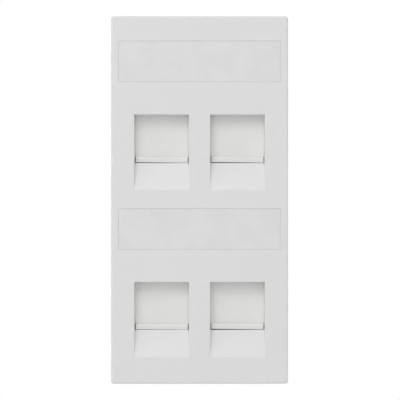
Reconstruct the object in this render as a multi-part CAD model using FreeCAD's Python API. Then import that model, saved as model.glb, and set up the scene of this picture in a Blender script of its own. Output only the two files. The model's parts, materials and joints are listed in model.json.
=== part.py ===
import FreeCAD, Part
import math
import os

# Keystone faceplate for four shuttered ports, in two rows of two. Millimetres.
# X runs to the right along the plate, Y from the front face towards the wall, and Z up.
# The origin is the centre of the rear rim, which seats against the wall or frame.
# A depth is measured back from the front face. Port features are drawn about the centre of their window.

os.makedirs("parts", exist_ok=True)

# Walls of the faceplate
face_wall = 2.0
rim_wall = 1.8
corner_radius = 0.8
edge_radius = 0.6
tray_corner_radius = 0.5

# Window and the finger ramp below it, as seen on the face
window_width = 16.1
window_height = 14.2
ramp_height = 7.9
ramp_depth = 2.9  # of the ramp's upper edge
ramp_wall = 1.3
ramp_foot_radius = 2.0
window_draft = 2.0  # degrees, of the sides beside the shutter
ramp_draft = 5.0  # degrees, of the sides beside the ramp
top_draft = 5.0  # degrees
mouth_bevel = 0.15
sill_bevel = 0.08
window_wall = 1.4

# Shutter
shutter_depth = 3.9
shutter_thickness = 1.2
shutter_side_overlap = 0.45
shutter_top_overlap = 1.45
shutter_corner = 1.0
slide_clearance = 0.12
side_clearance = 0.25
tail_overlap = 1.2  # that the shutter reaches down behind the ramp's upper edge
tail_clearance = 0.6
tail_thickness = 0.5
lip_height = 1.7
lip_slope_height = 0.15
lip_over_ramp = 0.1  # that the lip's front stands out past the ramp's upper edge
lip_undercut = 0.2  # that the lip's lower edge lies behind its front
lip_front_radius = 0.5
lip_foot_radius = 0.1
lip_foot_width = 0.35  # from front to back, at its lower edge
lip_hollow = 0.6  # height of the hollow behind the lip's foot
lip_end_clearance = 0.28
lip_stop_gap = 0.12

# How far above the ramp's edge each lip rests, and how many degrees its left end sits up in the loose guides
shutter_rests = {
    ("upper", "left"): (0.15, 0.7),
    ("upper", "right"): (0.20, 0.75),
    ("lower", "left"): (0.08, 0.3),
    ("lower", "right"): (0.20, 0.75),
}

# Channel that the shutter slides in
guide_wall = 1.2
rail_width = 1.2
sill_wall = 1.25

# Spring above the shutter
spring_diameter = 2.8
spring_wire = 0.2
spring_open_turns = 8
spring_closed_gap = 0.03  # between the wires of the closed turn at each end
wire_sides = 8
spring_room = 3.6  # what is left for the spring when the shutter is open
spring_end_gap = 0.05
spring_side_gap = 0.35
spring_guide_wall = 1.0
peg_width = 1.3
peg_height = 1.6
seat_peg_radius = 0.7
seat_peg_height = 1.4
seat_wall = 1.2
seat_overhang = 0.6

# Jack holder with the keystone socket
holder_thickness = 1.5
holder_margin = 0.7
holder_gap = 1.0  # between two holders side by side
holder_row_gap = 3.9  # between two holders one above the other
holder_edge_gap = 2.4  # from a holder to the rim
holder_corner_radius = 1.5
socket_width = 14.9
socket_height = 16.4
socket_depth = 9.95
socket_wall = 1.4
hook_room = 1.7
lower_groove_width = 3.2
upper_groove_width = 5.8
socket_lead_in = 1.1
spring_slot_margin = 1.0

# Screws that hold a holder down
screw_hole_radius = 1.2
screw_shank_radius = 0.86
screw_head_radius = 1.9
screw_head_height = 1.4
screw_head_round = 0.6
screw_end_gap = 0.3
screw_to_socket = 0.3
holder_above_screw = 2.15
holder_below_screw = 2.55
pilot_radius = 0.9
boss_radius = 2.2
boss_above_seat = 2.9
recess_length = 2.2
recess_width = 0.5
recess_depth = 0.8

# Label cover and card
label_height = 12.0
label_gap = 9.6  # from the window to the label
label_side_margin = 2.15
label_cover_thickness = 0.6
label_cover_sink = 0.05
label_card_thickness = 0.25
label_card_gap = 0.05
label_card_margin = 0.02
label_fit = 0.02
label_bevel = 0.05
label_tab_height = 4.0
label_tab_length = 0.4
label_tab_thickness = 0.4
label_tab_clearance = 0.08

# Snap hooks
hook_width = 8.0
hook_thickness = 1.6
hook_nose = 1.2
hook_to_holder = 1.05
hook_nose_gap = 1.1  # from the nose to the rim
hook_reach = 5.5
hook_grip = 1.7  # thickness of frame that the hooks clip
hook_tip_flat = 0.5
hook_spacing = 24.0

# Back of the plate
head_setback = 0.88  # of the screw heads from the rear rim
cross_rib = 1.2
cross_rib_setback = 2.0
overlap = 0.2  # how far a moulded feature is sunk into the wall that carries it

# Depths that follow
frame_depth = shutter_depth - slide_clearance
channel_depth = shutter_depth + shutter_thickness
holder_depth = channel_depth + slide_clearance
holder_back = holder_depth + holder_thickness
plate_depth = holder_back + screw_head_height + head_setback
label_pocket_depth = label_cover_sink + label_cover_thickness + label_card_gap + label_card_thickness
spring_depth = shutter_depth + shutter_thickness / 2
groove_back = spring_depth + spring_diameter / 2 + spring_side_gap / 2

# Widths that follow
shutter_width = window_width + 2 * shutter_side_overlap
channel_half = shutter_width / 2 + side_clearance
guide_half = channel_half + guide_wall
holder_width = 2 * (guide_half + holder_margin)
port_pitch = holder_width + holder_gap
plate_width = port_pitch + holder_width + 2 * (holder_edge_gap + rim_wall)
label_width = plate_width - 2 * label_side_margin

# Heights that follow, about the window's centre
window_top = window_height / 2
sill = -window_height / 2
ramp_foot = sill - ramp_height
top_draft_slope = math.tan(math.radians(top_draft))
window_draft_slope = math.tan(math.radians(window_draft))
ramp_draft_slope = math.tan(math.radians(ramp_draft))
highest_rest = max(height for height, lean in shutter_rests.values())
lip_top = sill + lip_height
shutter_bottom = sill - tail_overlap
channel_floor = shutter_bottom - tail_clearance
shutter_top = window_top + shutter_top_overlap
shutter_travel = window_top - frame_depth * top_draft_slope - lip_stop_gap - lip_top - highest_rest
spring_seat = shutter_top + highest_rest + shutter_travel + spring_room
socket_end = socket_height / 2 + hook_room + socket_wall
lower_screw = -socket_end - screw_to_socket - screw_head_radius
upper_screw = spring_seat + boss_above_seat
holder_bottom = lower_screw - holder_below_screw
holder_top = upper_screw + holder_above_screw
label_bottom = window_top + label_gap
label_top = label_bottom + label_height

# Plate height and where the ports are on it
row_pitch = holder_top - holder_bottom + holder_row_gap
end_room = hook_to_holder + hook_thickness + hook_nose + hook_nose_gap + rim_wall
plate_height = row_pitch + holder_top - holder_bottom + 2 * end_room
upper_row = plate_height / 2 - end_room - holder_top
rows = {"upper": upper_row, "lower": upper_row - row_pitch}
columns = {"left": -port_pitch / 2, "right": port_pitch / 2}
ports = list(shutter_rests)


def y_at(depth):
    """Y of a point this deep behind the front face."""
    return depth - plate_depth


def block(x0, x1, depth0, depth1, z0, z1):
    """A box between two places on each axis, with Y given as depths."""
    corner = FreeCAD.Vector(x0, y_at(depth0), z0)
    return Part.makeBox(x1 - x0, depth1 - depth0, z1 - z0, corner)


def centred_block(width, depth0, depth1, z0, z1):
    """A block whose width is centred on X = 0."""
    return block(-width / 2, width / 2, depth0, depth1, z0, z1)


def rod(radius, x, z, depth0, depth1):
    """A cylinder that lies along Y."""
    start = FreeCAD.Vector(x, y_at(depth0), z)
    return Part.makeCylinder(radius, depth1 - depth0, start, FreeCAD.Vector(0, 1, 0))


def side_profile(points, width):
    """A solid with this outline of (depth, z) points, centred on X = 0."""
    corners = [FreeCAD.Vector(-width / 2, y_at(depth), z) for depth, z in points]
    face = Part.Face(Part.makePolygon(corners + corners[:1]))
    return face.extrude(FreeCAD.Vector(width, 0, 0))


def plan_profile(points, z0, z1):
    """A solid with this outline of (x, depth) points, seen from above."""
    corners = [FreeCAD.Vector(x, y_at(depth), z0) for x, depth in points]
    face = Part.Face(Part.makePolygon(corners + corners[:1]))
    return face.extrude(FreeCAD.Vector(0, 0, z1 - z0))


def moved(shape, x, z):
    """A copy of the shape, moved along the face."""
    copy = shape.copy()
    copy.translate(FreeCAD.Vector(x, 0, z))
    return copy


def at_port(shape, port):
    """A copy of a shape drawn about a window's centre, at one port."""
    row, column = port
    return moved(shape, columns[column], rows[row])


def edges_along_y(shape):
    """The straight edges that run from front to back."""
    found = []
    for edge in shape.Edges:
        box = edge.BoundBox
        if box.XLength < 1e-6 and box.ZLength < 1e-6:
            found.append(edge)
    return found


def edges_at_depth(shape, depth):
    """The edges that lie in the plane at this depth."""
    found = []
    for edge in shape.Edges:
        box = edge.BoundBox
        if abs(box.YMin - y_at(depth)) < 1e-6 and box.YLength < 1e-6:
            found.append(edge)
    return found


def edges_across(shape, depth, z):
    """The edges that run along X at this depth and height."""
    found = []
    for edge in shape.Edges:
        box = edge.BoundBox
        if abs(box.YMin - y_at(depth)) < 1e-6 and box.YLength < 1e-6 and abs(box.ZMin - z) < 1e-6:
            found.append(edge)
    return found


def tapered_block(width0, height0, depth0, width1, height1, depth1, z):
    """A block centred at height z that goes from one rectangle to another between two depths."""
    outlines = []
    for width, height, depth in ((width0, height0, depth0), (width1, height1, depth1)):
        x = width / 2
        half = height / 2
        corners = [(-x, z - half), (x, z - half), (x, z + half), (-x, z + half), (-x, z - half)]
        points = [FreeCAD.Vector(px, y_at(depth), pz) for px, pz in corners]
        outlines.append(Part.makePolygon(points))
    return Part.makeLoft(outlines, True, True)


def window_half_at(depth):
    """Half the window's width at a depth, between its drafted sides."""
    return window_width / 2 - depth * window_draft_slope


def mouth_plan(draft_slope, z0, z1):
    """The room between two drafted sides of a port's mouth, from the front of the face to the holder."""
    half = window_width / 2
    plan = [
        (half + mouth_bevel, -overlap),
        (half + mouth_bevel, 0),
        (half - mouth_bevel * draft_slope, mouth_bevel),
        (half - holder_depth * draft_slope, holder_depth),
    ]
    plan += [(-x, depth) for x, depth in reversed(plan)]
    return plan_profile(plan, z0, z1)


def mouth_tool():
    """What is cut from the face for one port: the window with drafted walls, and the ramp below it."""
    front = -overlap
    back = holder_depth
    ramp_angle = math.atan2(ramp_depth, ramp_height)
    tangent = ramp_foot_radius * math.tan(ramp_angle / 2)
    beside_ramp = mouth_plan(ramp_draft_slope, ramp_foot - tangent - overlap, sill)
    beside_shutter = mouth_plan(window_draft_slope, sill, window_top + window_wall)
    cavity = beside_shutter.fuse(beside_ramp)

    foot_end = FreeCAD.Vector(0, y_at(0), ramp_foot - tangent)
    foot_middle = FreeCAD.Vector(
        0,
        y_at(ramp_foot_radius * (1 - math.cos(ramp_angle / 2))),
        ramp_foot - tangent + ramp_foot_radius * math.sin(ramp_angle / 2),
    )
    foot_start = FreeCAD.Vector(
        0,
        y_at(tangent * math.sin(ramp_angle)),
        ramp_foot + tangent * math.cos(ramp_angle),
    )
    outline = [
        (ramp_depth * (1 - sill_bevel / ramp_height), sill - sill_bevel),
        (ramp_depth + sill_bevel, sill),
        (back, sill),
        (back, window_top - back * top_draft_slope),
        (mouth_bevel, window_top - mouth_bevel * top_draft_slope),
        (0, window_top + mouth_bevel),
        (front, window_top + mouth_bevel),
        (front, ramp_foot - tangent),
    ]
    corners = [FreeCAD.Vector(0, y_at(depth), z) for depth, z in outline]
    edges = [Part.Arc(foot_end, foot_middle, foot_start).toShape()]
    corners = [foot_start] + corners + [foot_end]
    for start, end in zip(corners, corners[1:]):
        edges.append(Part.LineSegment(start, end).toShape())
    face = Part.Face(Part.Wire(Part.__sortEdges__(edges)))
    reach = window_width + 4 * mouth_bevel
    side = face.extrude(FreeCAD.Vector(reach, 0, 0))
    side.translate(FreeCAD.Vector(-reach / 2, 0, 0))
    return cavity.common(side)


def ramp_solid():
    """The material round one ramp, down to its sloping back and up to the edge the shutter closes behind."""
    slope = ramp_height / ramp_depth
    length = math.hypot(ramp_height, ramp_depth)
    back_offset = ramp_wall * length / ramp_depth

    def back_line(depth):
        return ramp_foot + depth * slope - back_offset

    root = face_wall - overlap
    heel = channel_floor - sill_wall
    heel_depth = (heel - ramp_foot + back_offset) / slope
    outline = [
        (root, sill),
        (frame_depth, sill),
        (frame_depth, channel_floor),
        (channel_depth, channel_floor),
        (channel_depth, heel),
        (heel_depth, heel),
        (root, back_line(root)),
    ]
    return side_profile(outline, 2 * guide_half)


def port_back():
    """Everything moulded behind the face for one port, before the window is cut."""
    root = face_wall - overlap
    frame_top = window_top + window_wall
    frame = centred_block(2 * guide_half, root, frame_depth, sill, frame_top)
    features = [frame, ramp_solid()]
    rail_inner = channel_half - rail_width
    spring_guide = spring_diameter / 2 + spring_side_gap
    for side in (-1, 1):
        guide = block(channel_half, guide_half, root, holder_depth, channel_floor, spring_seat)
        rail = block(rail_inner, channel_half, root, frame_depth, window_top, spring_seat)
        fence = block(
            spring_guide,
            spring_guide + spring_guide_wall,
            root,
            frame_depth,
            window_top,
            spring_seat,
        )
        for shape in (guide, rail, fence):
            if side < 0:
                shape = shape.mirror(FreeCAD.Vector(0, 0, 0), FreeCAD.Vector(1, 0, 0))
            features.append(shape)
    seat_half = spring_guide + spring_guide_wall + seat_overhang
    features.append(
        centred_block(2 * seat_half, root, holder_depth, spring_seat, spring_seat + seat_wall)
    )
    peg_start = FreeCAD.Vector(0, y_at(spring_depth), spring_seat - seat_peg_height)
    features.append(
        Part.makeCylinder(seat_peg_radius, seat_peg_height + overlap, peg_start)
    )
    for z in (lower_screw, upper_screw):
        features.append(rod(boss_radius, 0, z, root, holder_depth))
    return features


def pilot_holes():
    """The two screw holes of one port's bosses."""
    return [
        rod(pilot_radius, 0, z, face_wall, holder_depth + overlap)
        for z in (lower_screw, upper_screw)
    ]


def label_pocket():
    """What is cut from the face for one label, about the window's height and the plate's middle."""
    z = (label_bottom + label_top) / 2
    pocket = centred_block(label_width, -overlap, label_pocket_depth, label_bottom, label_top)
    rim = tapered_block(
        label_width + 2 * label_bevel,
        label_height + 2 * label_bevel,
        0,
        label_width,
        label_height,
        label_bevel,
        z,
    )
    tab_back = label_cover_sink + label_cover_thickness
    notch = centred_block(
        label_width + 2 * (label_tab_length + label_tab_clearance),
        tab_back - label_tab_thickness - label_tab_clearance,
        tab_back + label_card_gap,
        z - label_tab_height / 2 - label_tab_clearance,
        z + label_tab_height / 2 + label_tab_clearance,
    )
    return [pocket, rim, notch]


def snap_hook():
    """One hook at the top end, centred on X = 0."""
    inner = plate_height / 2 - end_room + hook_to_holder
    outer = inner + hook_thickness
    latch = plate_depth + hook_grip
    tip = plate_depth + hook_reach
    outline = [
        (face_wall - overlap, inner),
        (tip, inner),
        (tip, outer - hook_tip_flat),
        (latch + hook_nose / 2, outer + hook_nose),
        (latch, outer + hook_nose),
        (latch, outer),
        (face_wall - overlap, outer),
    ]
    return side_profile(outline, hook_width)


def plate_shell():
    """The open tray of the faceplate: front wall and rim."""
    half_width = plate_width / 2
    half_height = plate_height / 2
    shell = block(-half_width, half_width, 0, plate_depth, -half_height, half_height)
    shell = shell.makeFillet(corner_radius, edges_along_y(shell))
    shell = shell.makeFillet(edge_radius, edges_at_depth(shell, 0))
    inner_width = half_width - rim_wall
    inner_height = half_height - rim_wall
    tray = block(
        -inner_width, inner_width, face_wall, plate_depth + overlap, -inner_height, inner_height
    )
    tray = tray.makeFillet(tray_corner_radius, edges_along_y(tray))
    return shell.cut(tray)


def faceplate():
    """The one-piece moulding that everything else is fitted to."""
    features = []
    for port in ports:
        features += [at_port(shape, port) for shape in port_back()]
    for x in (-hook_spacing / 2, hook_spacing / 2):
        hook = moved(snap_hook(), x, 0)
        features.append(hook)
        features.append(hook.mirror(FreeCAD.Vector(0, 0, 0), FreeCAD.Vector(0, 0, 1)))
    rib_z = rows["upper"] + holder_bottom - holder_row_gap / 2
    rib_width = plate_width - 2 * rim_wall + 2 * overlap
    features.append(
        centred_block(
            rib_width,
            face_wall - overlap,
            plate_depth - cross_rib_setback,
            rib_z - cross_rib / 2,
            rib_z + cross_rib / 2,
        )
    )
    plate = plate_shell().fuse(features)
    cuts = [at_port(mouth_tool(), port) for port in ports]
    for port in ports:
        cuts += [at_port(hole, port) for hole in pilot_holes()]
    for z in rows.values():
        cuts += [moved(shape, 0, z) for shape in label_pocket()]
    return plate.cut(cuts).removeSplitter()


def lip():
    """The finger lip along the shutter's foot. Its ends follow the window's drafted sides."""
    front = ramp_depth - lip_over_ramp
    root = shutter_depth + shutter_thickness / 2
    nose = lip_top - lip_slope_height
    foot = front + lip_undercut
    outline = [
        (root, lip_top),
        (shutter_depth, lip_top),
        (front, nose),
        (foot, sill),
        (foot + lip_foot_width, sill),
        (shutter_depth, sill + lip_hollow),
        (root, sill + lip_hollow),
    ]
    bar = side_profile(outline, window_width)
    bar = bar.makeFillet(lip_front_radius, edges_across(bar, front, nose))
    bar = bar.makeFillet(lip_foot_radius, edges_across(bar, foot, sill))
    front_half = window_half_at(front) - lip_end_clearance
    root_half = window_half_at(root) - lip_end_clearance
    plan = [(front_half, front), (root_half, root), (-root_half, root), (-front_half, front)]
    return bar.common(plan_profile(plan, sill, lip_top))


def shutter():
    """The sliding door of one port, closed."""
    half = shutter_width / 2
    plate = centred_block(
        shutter_width, shutter_depth, channel_depth, shutter_bottom, shutter_top
    )
    lip_half = window_half_at(shutter_depth) - lip_end_clearance
    relief = block(
        lip_half,
        half + overlap,
        shutter_depth - overlap,
        channel_depth + overlap,
        shutter_bottom - overlap,
        lip_top,
    )
    mirrored_relief = relief.mirror(FreeCAD.Vector(0, 0, 0), FreeCAD.Vector(1, 0, 0))
    hollow = centred_block(
        shutter_width + 2 * overlap,
        shutter_depth - overlap,
        channel_depth - tail_thickness,
        shutter_bottom - overlap,
        sill + lip_hollow,
    )
    plate = plate.cut([relief, mirrored_relief, hollow])
    for side in (-1, 1):
        corner = plan_corner(side * half, shutter_top)
        plate = plate.cut(corner)
    peg = block(
        -peg_width / 2,
        peg_width / 2,
        spring_depth - peg_width / 2,
        spring_depth + peg_width / 2,
        shutter_top - overlap,
        shutter_top + peg_height,
    )
    return plate.fuse([lip(), peg]).removeSplitter()


def plan_corner(x, z):
    """The wedge that takes one upper corner off the shutter."""
    inward = -math.copysign(shutter_corner, x)
    points = [(x, z), (x + inward, z), (x, z - shutter_corner), (x, z)]
    corners = [FreeCAD.Vector(px, y_at(shutter_depth), pz) for px, pz in points]
    face = Part.Face(Part.makePolygon(corners))
    return face.extrude(FreeCAD.Vector(0, shutter_thickness, 0))


def shutter_at(port):
    """The shutter of one port, where it rests when closed."""
    height, lean = shutter_rests[port]
    shape = moved(shutter(), 0, height)
    lip_middle = FreeCAD.Vector(0, y_at(spring_depth), sill + height + lip_height / 2)
    shape.rotate(lip_middle, FreeCAD.Vector(0, 1, 0), lean)
    return at_port(shape, port)


def wire_section(mean_radius, z):
    """The spring wire's section where it starts, an octagon with the area of the round wire."""
    corner_angle = 2 * math.pi / wire_sides
    area_radius = spring_wire / 2 * math.sqrt(corner_angle / math.sin(corner_angle))
    corners = []
    for index in range(wire_sides + 1):
        turn = 2 * math.pi * index / wire_sides
        x = mean_radius + area_radius * math.cos(turn)
        corners.append(FreeCAD.Vector(x, 0, z + area_radius * math.sin(turn)))
    return Part.Face(Part.makePolygon(corners))


def shutter_spring(port):
    """The coil spring between a closed shutter and its seat, with one closed turn at each end.

    Each half turn is half a ring, tilted so that it climbs. The halves meet with the wire level.
    """
    height, lean = shutter_rests[port]
    mean_radius = (spring_diameter - spring_wire) / 2
    bottom = shutter_top + height + spring_end_gap + spring_wire / 2
    height = spring_seat - spring_end_gap - spring_wire / 2 - bottom
    closed_rise = (spring_wire + spring_closed_gap) / 2
    open_rise = (height - 4 * closed_rise) / (2 * spring_open_turns)
    rises = [closed_rise] * 2 + [open_rise] * (2 * spring_open_turns) + [closed_rise] * 2
    section = wire_section(mean_radius, bottom)
    faces = [section.Faces[0]]
    side = 1
    z = bottom
    for rise in rises:
        middle = FreeCAD.Vector(0, 0, z + rise / 2)
        axis = FreeCAD.Vector(side * rise / 2, 0, mean_radius)
        faces += section.OuterWire.revolve(middle, axis, 180).Faces
        section = section.copy()
        section.rotate(middle, axis, 180)
        z += rise
        side = -side
    faces.append(section)
    skin = Part.makeCompound(faces)
    skin.sewShape()
    coil = Part.makeSolid(skin.Shells[0])
    if coil.Volume < 0:
        coil.reverse()
    coil.translate(FreeCAD.Vector(0, y_at(spring_depth), 0))
    return coil


def jack_holder():
    """The plate behind one port, with the keystone socket."""
    socket_back = holder_depth + socket_depth
    plate = centred_block(holder_width, holder_depth, holder_back, holder_bottom, holder_top)
    plate = plate.makeFillet(holder_corner_radius, edges_along_y(plate))
    socket = centred_block(
        socket_width + 2 * socket_wall, holder_depth, socket_back, -socket_end, socket_end
    )
    half_height = socket_height / 2
    opening = centred_block(
        socket_width, holder_depth - overlap, socket_back + overlap, -half_height, half_height
    )
    lower_groove = centred_block(
        socket_width,
        holder_back,
        holder_back + lower_groove_width,
        -half_height - hook_room,
        -half_height + overlap,
    )
    upper_groove = centred_block(
        socket_width,
        holder_back,
        holder_back + upper_groove_width,
        half_height - overlap,
        half_height + hook_room,
    )
    lead_in = tapered_block(
        socket_width,
        socket_height,
        socket_back - socket_lead_in,
        socket_width,
        socket_height + 2 * socket_lead_in,
        socket_back,
        0,
    )
    groove_width = spring_diameter + 2 * spring_side_gap
    spring_groove = centred_block(
        groove_width, holder_depth - overlap, groove_back, half_height - overlap, spring_seat
    )
    spring_slot = centred_block(
        groove_width,
        holder_depth - overlap,
        holder_back + overlap,
        socket_end + spring_slot_margin,
        spring_seat - spring_slot_margin,
    )
    cuts = [opening, lower_groove, upper_groove, lead_in, spring_groove, spring_slot]
    for z in (lower_screw, upper_screw):
        cuts.append(rod(screw_hole_radius, 0, z, holder_depth - overlap, holder_back + overlap))
    return plate.fuse(socket).cut(cuts).removeSplitter()


def holder_screw():
    """One pan-head screw with a cross recess, at the window's centre height. Its thread isn't modelled."""
    tip = face_wall + screw_end_gap
    head_back = holder_back + screw_head_height
    head = rod(screw_head_radius, 0, 0, holder_back, head_back)
    head = head.makeFillet(screw_head_round, edges_at_depth(head, head_back))
    shank = rod(screw_shank_radius, 0, 0, tip, holder_back + overlap)
    recess_start = head_back - recess_depth
    across = centred_block(
        recess_length, recess_start, head_back + overlap, -recess_width / 2, recess_width / 2
    )
    upright = centred_block(
        recess_width, recess_start, head_back + overlap, -recess_length / 2, recess_length / 2
    )
    return head.fuse(shank).cut([across, upright]).removeSplitter()


def holder_screws():
    """All the screws, two to a holder."""
    screws = []
    for port in ports:
        for z in (lower_screw, upper_screw):
            screws.append(at_port(moved(holder_screw(), 0, z), port))
    return Part.makeCompound(screws)


def label_cover():
    """The snap-in strip over a label card, about the window's height."""
    z = (label_bottom + label_top) / 2
    width = label_width - 2 * label_fit
    height = label_height - 2 * label_fit
    back = label_cover_sink + label_cover_thickness
    strip = centred_block(width, label_cover_sink, back, z - height / 2, z + height / 2)
    strip = strip.makeChamfer(label_bevel, edges_at_depth(strip, label_cover_sink))
    tabs = centred_block(
        width + 2 * label_tab_length,
        back - label_tab_thickness,
        back,
        z - label_tab_height / 2,
        z + label_tab_height / 2,
    )
    return strip.fuse(tabs).removeSplitter()


def label_card():
    """The card at the bottom of a label pocket, about the window's height."""
    return centred_block(
        label_width - 2 * label_card_margin,
        label_pocket_depth - label_card_thickness,
        label_pocket_depth,
        label_bottom + label_card_margin,
        label_top - label_card_margin,
    )


def write(name, shape):
    """Writes one sub-part, after checking that it is sound."""
    sound = shape.isValid() and all(solid.Volume > 0 for solid in shape.Solids)
    print(f"{name}: {len(shape.Solids)} solid, {shape.Volume:.1f} mm3, sound {sound}")
    shape.exportStep(f"parts/{name}.step")


write("faceplate", faceplate())
for row_name, row_z in rows.items():
    write(f"label_cover_{row_name}", moved(label_cover(), 0, row_z))
    write(f"label_card_{row_name}", moved(label_card(), 0, row_z))
for port in ports:
    place = "_".join(port)
    write(f"shutter_{place}", shutter_at(port))
    write(f"shutter_spring_{place}", at_port(shutter_spring(port), port))
    write(f"jack_holder_{place}", at_port(jack_holder(), port))
write("holder_screws", holder_screws())
print(f"plate {plate_width:.2f} x {plate_height:.2f} x {plate_depth:.2f} mm")
print(f"shutter travel {shutter_travel:.3f} mm, rows {rows}, columns {columns}")
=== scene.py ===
import json
import math

import bmesh
import bpy
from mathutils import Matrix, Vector

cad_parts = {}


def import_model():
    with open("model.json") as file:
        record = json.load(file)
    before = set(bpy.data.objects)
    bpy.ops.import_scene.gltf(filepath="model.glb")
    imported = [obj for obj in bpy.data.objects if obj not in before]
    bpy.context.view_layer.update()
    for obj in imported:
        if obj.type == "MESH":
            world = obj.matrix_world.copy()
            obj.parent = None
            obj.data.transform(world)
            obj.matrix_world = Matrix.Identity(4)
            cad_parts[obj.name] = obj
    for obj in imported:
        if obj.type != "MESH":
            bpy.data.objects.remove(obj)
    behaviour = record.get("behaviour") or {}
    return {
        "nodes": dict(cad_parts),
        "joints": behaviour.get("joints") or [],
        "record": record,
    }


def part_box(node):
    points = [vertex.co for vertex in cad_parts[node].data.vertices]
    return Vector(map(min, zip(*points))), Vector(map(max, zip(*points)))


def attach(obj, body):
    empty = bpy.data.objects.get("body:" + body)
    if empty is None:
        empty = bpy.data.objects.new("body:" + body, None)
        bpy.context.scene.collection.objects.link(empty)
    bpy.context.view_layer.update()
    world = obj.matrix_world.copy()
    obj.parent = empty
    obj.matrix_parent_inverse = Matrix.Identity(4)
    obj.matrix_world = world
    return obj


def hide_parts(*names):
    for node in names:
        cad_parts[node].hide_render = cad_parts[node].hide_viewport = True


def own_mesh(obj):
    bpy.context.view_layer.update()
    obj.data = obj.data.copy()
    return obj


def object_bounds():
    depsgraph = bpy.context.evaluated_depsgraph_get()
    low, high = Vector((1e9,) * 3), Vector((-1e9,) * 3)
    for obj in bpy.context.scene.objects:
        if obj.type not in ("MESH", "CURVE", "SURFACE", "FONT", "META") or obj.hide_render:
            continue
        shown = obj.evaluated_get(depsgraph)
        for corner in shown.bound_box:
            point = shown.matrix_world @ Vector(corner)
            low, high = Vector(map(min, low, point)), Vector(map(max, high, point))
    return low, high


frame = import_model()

CAD_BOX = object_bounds()
MM = 0.001
PORTS = [joint["name"].replace("shutter_slide_", "") for joint in frame["joints"]]
SLOTS = {part["node"]: part["material_slot"] for part in frame["record"]["subparts"]}

# Picture
FRAMED_WIDTH = 117.4 * MM  # that the picture takes in at the plate's face
PLATE_OFFSET = -0.12 * MM  # of the plate, to the right of the picture's middle
CAMERA_DISTANCE = 0.6  # metres from the face
SENSOR_WIDTH = 36.0  # millimetres
FAR_CLIP = 10.0

# Floor and ambient light
FLOOR_DROP = 90 * MM
FLOOR_RADIUS = 0.5
FLOOR_SIDES = 96
AMBIENT_BELOW = 0.1
AMBIENT_ABOVE = 0.54

# Springs
WIRE_SEGMENTS = 10
STEPS_PER_TURN = 28
SPRING_WIRE = 0.2 * MM
SPRING_OPEN_TURNS = 8
CLOSED_TURN_RISE = 1.15 * SPRING_WIRE

# Finishes
GLOSS_SPREAD = 0.03  # how far roughness goes up and down over a surface
HAZE_SPREAD = 0.03
HEAD_ON_SHINE = 0.04  # share of the light that clear plastic reflects when seen straight on
SHINE_POWER = 5.0  # how steeply that share rises to all of it when seen edge on


# Materials

class Nodes:
    """A material's node tree, with short ways to add and join nodes."""

    def __init__(self, name):
        self.material = bpy.data.materials.new(name)
        self.material.use_nodes = True
        self.tree = self.material.node_tree
        self.shader = self.tree.nodes["Principled BSDF"]

    def add(self, kind, **values):
        node = self.tree.nodes.new(kind)
        for key, value in values.items():
            if hasattr(node, key):
                setattr(node, key, value)
            else:
                node.inputs[key.replace("_", " ")].default_value = value
        return node

    def join(self, source, target):
        self.tree.links.new(source, target)

    def coordinates(self):
        """Places on the object in metres, the same on every piece."""
        return self.add("ShaderNodeTexCoord").outputs["Object"]

    def noise(self, scale, detail=2.0, stretch=None):
        """Noise of this many lumps to a metre, stretched along an axis if asked."""
        texture = self.add("ShaderNodeTexNoise", Scale=scale, Detail=detail)
        source = self.coordinates()
        if stretch:
            mapping = self.add("ShaderNodeMapping")
            mapping.inputs["Scale"].default_value = stretch
            self.join(source, mapping.inputs["Vector"])
            source = mapping.outputs["Vector"]
        self.join(source, texture.inputs["Vector"])
        return texture.outputs["Fac"]

    def ramp(self, source, low, high):
        """The source's middle range, spread between two numbers."""
        node = self.add("ShaderNodeMapRange")
        for key, value in (("From Min", 0.3), ("From Max", 0.7), ("To Min", low), ("To Max", high)):
            node.inputs[key].default_value = value
        self.join(source, node.inputs["Value"])
        return node.outputs["Result"]

    def tint(self, source, dark, light):
        """A colour that goes from dark to light with the source."""
        node = self.add("ShaderNodeMix", data_type="RGBA")
        self.join(self.ramp(source, 0, 1), node.inputs["Factor"])
        first, second = [socket for socket in node.inputs if socket.type == "RGBA"]
        first.default_value = (*dark, 1)
        second.default_value = (*light, 1)
        return [socket for socket in node.outputs if socket.type == "RGBA"][0]

    def blend(self, factor, under, over):
        """One shader over another, by a factor."""
        node = self.add("ShaderNodeMixShader")
        self.join(factor, node.inputs["Fac"])
        self.join(under, node.inputs[1])
        self.join(over, node.inputs[2])
        return node.outputs[0]

    def bump(self, source, height, before=None):
        """Relief of this height in metres, on top of any relief made before."""
        node = self.add("ShaderNodeBump")
        node.inputs["Distance"].default_value = height
        node.inputs["Strength"].default_value = 1.0
        self.join(source, node.inputs["Height"])
        if before:
            self.join(before, node.inputs["Normal"])
        return node.outputs["Normal"]


def shade(colour, factor):
    """A colour made lighter or darker."""
    return tuple(min(part * factor, 1.0) for part in colour)


def moulded_plastic(name, colour, roughness, grain, relief):
    """A satin injection moulding with spark-eroded grain, faint flow shading and slightly uneven gloss."""
    made = Nodes(name)
    flow = made.noise(38, detail=1.0, stretch=(1.0, 1.0, 0.45))
    shading = made.tint(flow, shade(colour, 0.994), shade(colour, 1.006))
    made.join(shading, made.shader.inputs["Base Color"])
    patches = made.noise(240, detail=3.0)
    gloss = made.ramp(patches, roughness - GLOSS_SPREAD, roughness + GLOSS_SPREAD)
    made.join(gloss, made.shader.inputs["Roughness"])
    fine = made.bump(made.noise(grain, detail=3.0), relief)
    waves = made.bump(made.noise(55, detail=0.0), 12e-6, fine)
    made.join(waves, made.shader.inputs["Normal"])
    made.shader.inputs["IOR"].default_value = 1.5
    return made.material


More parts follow.
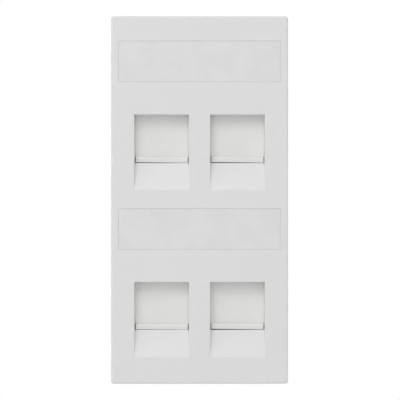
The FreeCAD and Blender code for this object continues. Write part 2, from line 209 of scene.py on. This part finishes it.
def frosted_film(name, colour, haze, roughness):
    """A frosted plastic strip: what is under it shows through a haze, with a thin sheen on top."""
    made = Nodes(name)
    made.tree.nodes.remove(made.shader)
    clear = made.add("ShaderNodeBsdfTransparent", Color=(1.0, 1.0, 1.0, 1.0))
    frost = made.add("ShaderNodeBsdfDiffuse", Color=(*colour, 1.0))
    cloudy = made.ramp(made.noise(150), haze - HAZE_SPREAD, haze + HAZE_SPREAD)
    body = made.blend(cloudy, clear.outputs[0], frost.outputs[0])

    sheen = made.add("ShaderNodeBsdfAnisotropic")
    gloss = made.ramp(made.noise(300), roughness - GLOSS_SPREAD, roughness + GLOSS_SPREAD)
    made.join(gloss, sheen.inputs["Roughness"])
    made.join(made.bump(made.noise(4200), 1.2e-6), sheen.inputs["Normal"])

    facing = made.add("ShaderNodeLayerWeight", Blend=0.5)
    steep = made.add("ShaderNodeMath", operation="POWER")
    steep.inputs[1].default_value = SHINE_POWER
    made.join(facing.outputs["Facing"], steep.inputs[0])
    shine = made.add("ShaderNodeMath", operation="MULTIPLY_ADD")
    shine.inputs[1].default_value = 1 - HEAD_ON_SHINE
    shine.inputs[2].default_value = HEAD_ON_SHINE
    made.join(steep.outputs[0], shine.inputs[0])
    surface = made.blend(shine.outputs[0], body, sheen.outputs[0])
    made.join(surface, made.tree.nodes["Material Output"].inputs["Surface"])
    return made.material


def card(name, colour):
    """Uncoated white card with a fibrous surface."""
    made = Nodes(name)
    fibres = made.noise(2600, detail=4.0, stretch=(0.3, 1.0, 1.0))
    shading = made.tint(fibres, shade(colour, 0.985), shade(colour, 1.0))
    made.join(shading, made.shader.inputs["Base Color"])
    made.join(made.ramp(fibres, 0.8, 0.92), made.shader.inputs["Roughness"])
    made.join(made.bump(fibres, 6e-6), made.shader.inputs["Normal"])
    return made.material


def steel(name, colour, roughness, stretch, scale):
    """Plated or drawn steel, with fine lines along one axis and slight clouding."""
    made = Nodes(name)
    made.shader.inputs["Metallic"].default_value = 1.0
    lines = made.noise(scale, detail=3.0, stretch=stretch)
    clouds = made.noise(900)
    shading = made.tint(clouds, shade(colour, 0.9), shade(colour, 1.05))
    made.join(shading, made.shader.inputs["Base Color"])
    made.join(made.ramp(lines, roughness - 0.08, roughness + 0.1), made.shader.inputs["Roughness"])
    made.join(made.bump(lines, 2e-6), made.shader.inputs["Normal"])
    return made.material


def finishes():
    """One material for each of the record's slots."""
    return {
        "plate_plastic": moulded_plastic("plate plastic", (0.735, 0.735, 0.735), 0.42, 5200, 2.0e-6),
        "shutter_plastic": moulded_plastic("shutter plastic", (0.785, 0.784, 0.776), 0.4, 7000, 1.6e-6),
        "holder_plastic": moulded_plastic("holder plastic", (0.70, 0.70, 0.69), 0.55, 4200, 4.0e-6),
        "label_cover": frosted_film("label cover", (0.836, 0.836, 0.836), 0.85, 0.35),
        "label_card": card("label card", (0.795, 0.795, 0.795)),
        "spring_steel": steel("spring wire", (0.58, 0.58, 0.60), 0.3, (1, 1, 6), 9000),
        "screw_steel": steel("plated screw", (0.66, 0.67, 0.69), 0.32, (5, 1, 1), 6000),
    }


def placed(name, mesh):
    """A new object in the scene with this mesh, which is used up."""
    data = bpy.data.meshes.new(name)
    mesh.to_mesh(data)
    mesh.free()
    obj = bpy.data.objects.new(name, data)
    bpy.context.scene.collection.objects.link(obj)
    return obj


def dress(name, obj, materials):
    """Gives a piece the finish of its CAD node's slot."""
    obj.data.materials.clear()
    obj.data.materials.append(materials[SLOTS[name]])


# Springs

def coil_line(radius, bottom, top):
    """Points up a coil, with a closed turn at each end."""
    turns = SPRING_OPEN_TURNS + 2
    climb = (top - bottom - 2 * CLOSED_TURN_RISE) / SPRING_OPEN_TURNS
    points = []
    for index in range(turns * STEPS_PER_TURN + 1):
        turn = index / STEPS_PER_TURN
        z = bottom + CLOSED_TURN_RISE * min(turn, 1)
        z += climb * min(max(turn - 1, 0), SPRING_OPEN_TURNS)
        z += CLOSED_TURN_RISE * max(turn - SPRING_OPEN_TURNS - 1, 0)
        angle = 2 * math.pi * turn
        points.append(Vector((radius * math.cos(angle), radius * math.sin(angle), z)))
    return points


def wire_mesh(line, x, y):
    """A mesh of round wire along the line, moved to x and y."""
    mesh = bmesh.new()
    rings = []
    for index, point in enumerate(line):
        ahead = line[min(index + 1, len(line) - 1)] - line[max(index - 1, 0)]
        along = ahead.normalized()
        outward = Vector((point.x, point.y, 0)).normalized()
        up = along.cross(outward).normalized()
        outward = up.cross(along)
        ring = []
        for step in range(WIRE_SEGMENTS):
            turn = 2 * math.pi * step / WIRE_SEGMENTS
            place = point + SPRING_WIRE / 2 * (math.cos(turn) * outward + math.sin(turn) * up)
            ring.append(mesh.verts.new((place.x + x, place.y + y, place.z)))
        rings.append(ring)
    for ring, following in zip(rings, rings[1:]):
        for step in range(WIRE_SEGMENTS):
            after = (step + 1) % WIRE_SEGMENTS
            mesh.faces.new((ring[step], following[step], following[after], ring[after]))
    mesh.faces.new(rings[0])
    mesh.faces.new(list(reversed(rings[-1])))
    bmesh.ops.recalc_face_normals(mesh, faces=mesh.faces[:])
    return mesh


def wire_spring(port, materials):
    """A round-wire coil in the place of a CAD spring."""
    node = f"shutter_spring_{port}"
    low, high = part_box(node)
    middle = (low + high) / 2
    radius = (high.x - low.x - SPRING_WIRE) / 2
    line = coil_line(radius, low.z + SPRING_WIRE / 2, high.z - SPRING_WIRE / 2)
    spring = placed(f"wire_spring_{port}", wire_mesh(line, middle.x, middle.y))
    for face in spring.data.polygons:
        face.use_smooth = True
    dress(node, spring, materials)
    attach(spring, "plate")
    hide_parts(node)
    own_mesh(spring)


# Studio

def look_at(obj, place, target):
    """Puts a lamp or the camera at a place, turned towards the target."""
    obj.location = place
    obj.rotation_mode = "QUATERNION"
    obj.rotation_quaternion = (Vector(target) - Vector(place)).to_track_quat("-Z", "Y")


def soft_lamp(name, place, size, power):
    """A square area lamp turned towards the plate."""
    data = bpy.data.lights.new(name, "AREA")
    data.shape = "SQUARE"
    data.size = size
    data.energy = power
    lamp = bpy.data.objects.new(name, data)
    bpy.context.scene.collection.objects.link(lamp)
    look_at(lamp, place, (0, 0, 0))


def lamps():
    """Two soft lamps before the plate, a weak one at each side and one behind it."""
    soft_lamp("front", (-0.12, -0.42, 0.2), 0.5, 0.58)
    soft_lamp("upper", (-0.1, -0.56, 0.54), 0.45, 1.45)
    soft_lamp("left", (-1.0, -0.25, 0.25), 0.5, 1.9)
    soft_lamp("right", (1.0, -0.25, 0.2), 0.5, 1.3)
    soft_lamp("back", (0.7, 1.2, 1.1), 1.0, 14.0)


def camera():
    """Straight in front of the face, level with the plate's middle."""
    data = bpy.data.cameras.new("camera")
    data.sensor_width = SENSOR_WIDTH
    data.lens = SENSOR_WIDTH * CAMERA_DISTANCE / FRAMED_WIDTH
    data.clip_end = FAR_CLIP
    obj = bpy.data.objects.new("camera", data)
    bpy.context.scene.collection.objects.link(obj)
    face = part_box("faceplate")[0].y
    x = -PLATE_OFFSET
    look_at(obj, (x, face - CAMERA_DISTANCE, 0), (x, 0, 0))
    bpy.context.scene.camera = obj


def floor():
    """A plain pale disc some way below the plate."""
    mesh = bmesh.new()
    bmesh.ops.create_circle(mesh, cap_ends=True, radius=FLOOR_RADIUS, segments=FLOOR_SIDES)
    disc = placed("floor", mesh)
    disc.location.z = CAD_BOX[0].z - FLOOR_DROP
    made = Nodes("floor paper")
    paper = made.tint(made.noise(9, detail=1.0), (0.80, 0.80, 0.80), (0.81, 0.81, 0.81))
    made.join(paper, made.shader.inputs["Base Color"])
    made.shader.inputs["Roughness"].default_value = 0.9
    disc.data.materials.append(made.material)


def world():
    """White to the camera and in reflections, and a plain soft light that is stronger from above."""
    made = bpy.data.worlds.new("studio")
    bpy.context.scene.world = made
    made.use_nodes = True
    nodes, links = made.node_tree.nodes, made.node_tree.links
    nodes.clear()
    path = nodes.new("ShaderNodeLightPath")
    sees_white = path.outputs["Is Camera Ray"]
    for ray in ("Is Glossy Ray", "Is Transmission Ray"):
        either = nodes.new("ShaderNodeMath")
        either.operation = "MAXIMUM"
        links.new(sees_white, either.inputs[0])
        links.new(path.outputs[ray], either.inputs[1])
        sees_white = either.outputs[0]
    soft = nodes.new("ShaderNodeBackground")
    soft.inputs["Color"].default_value = (1, 1, 1, 1)
    direction = nodes.new("ShaderNodeTexCoord")
    parts = nodes.new("ShaderNodeSeparateXYZ")
    links.new(direction.outputs["Generated"], parts.inputs[0])
    slope = nodes.new("ShaderNodeMapRange")
    ends = {"From Min": -1, "From Max": 1, "To Min": AMBIENT_BELOW, "To Max": AMBIENT_ABOVE}
    for key, value in ends.items():
        slope.inputs[key].default_value = value
    links.new(parts.outputs["Z"], slope.inputs["Value"])
    links.new(slope.outputs["Result"], soft.inputs["Strength"])
    white = nodes.new("ShaderNodeBackground")
    white.inputs["Color"].default_value = (1, 1, 1, 1)
    white.inputs["Strength"].default_value = 1.0
    blend = nodes.new("ShaderNodeMixShader")
    links.new(sees_white, blend.inputs["Fac"])
    links.new(soft.outputs[0], blend.inputs[1])
    links.new(white.outputs[0], blend.inputs[2])
    output = nodes.new("ShaderNodeOutputWorld")
    links.new(blend.outputs[0], output.inputs["Surface"])


bpy.context.scene.view_settings.view_transform = "Standard"
materials = finishes()
for name, obj in frame["nodes"].items():
    dress(name, obj, materials)
for port in PORTS:
    wire_spring(port, materials)
camera()
floor()
world()
lamps()
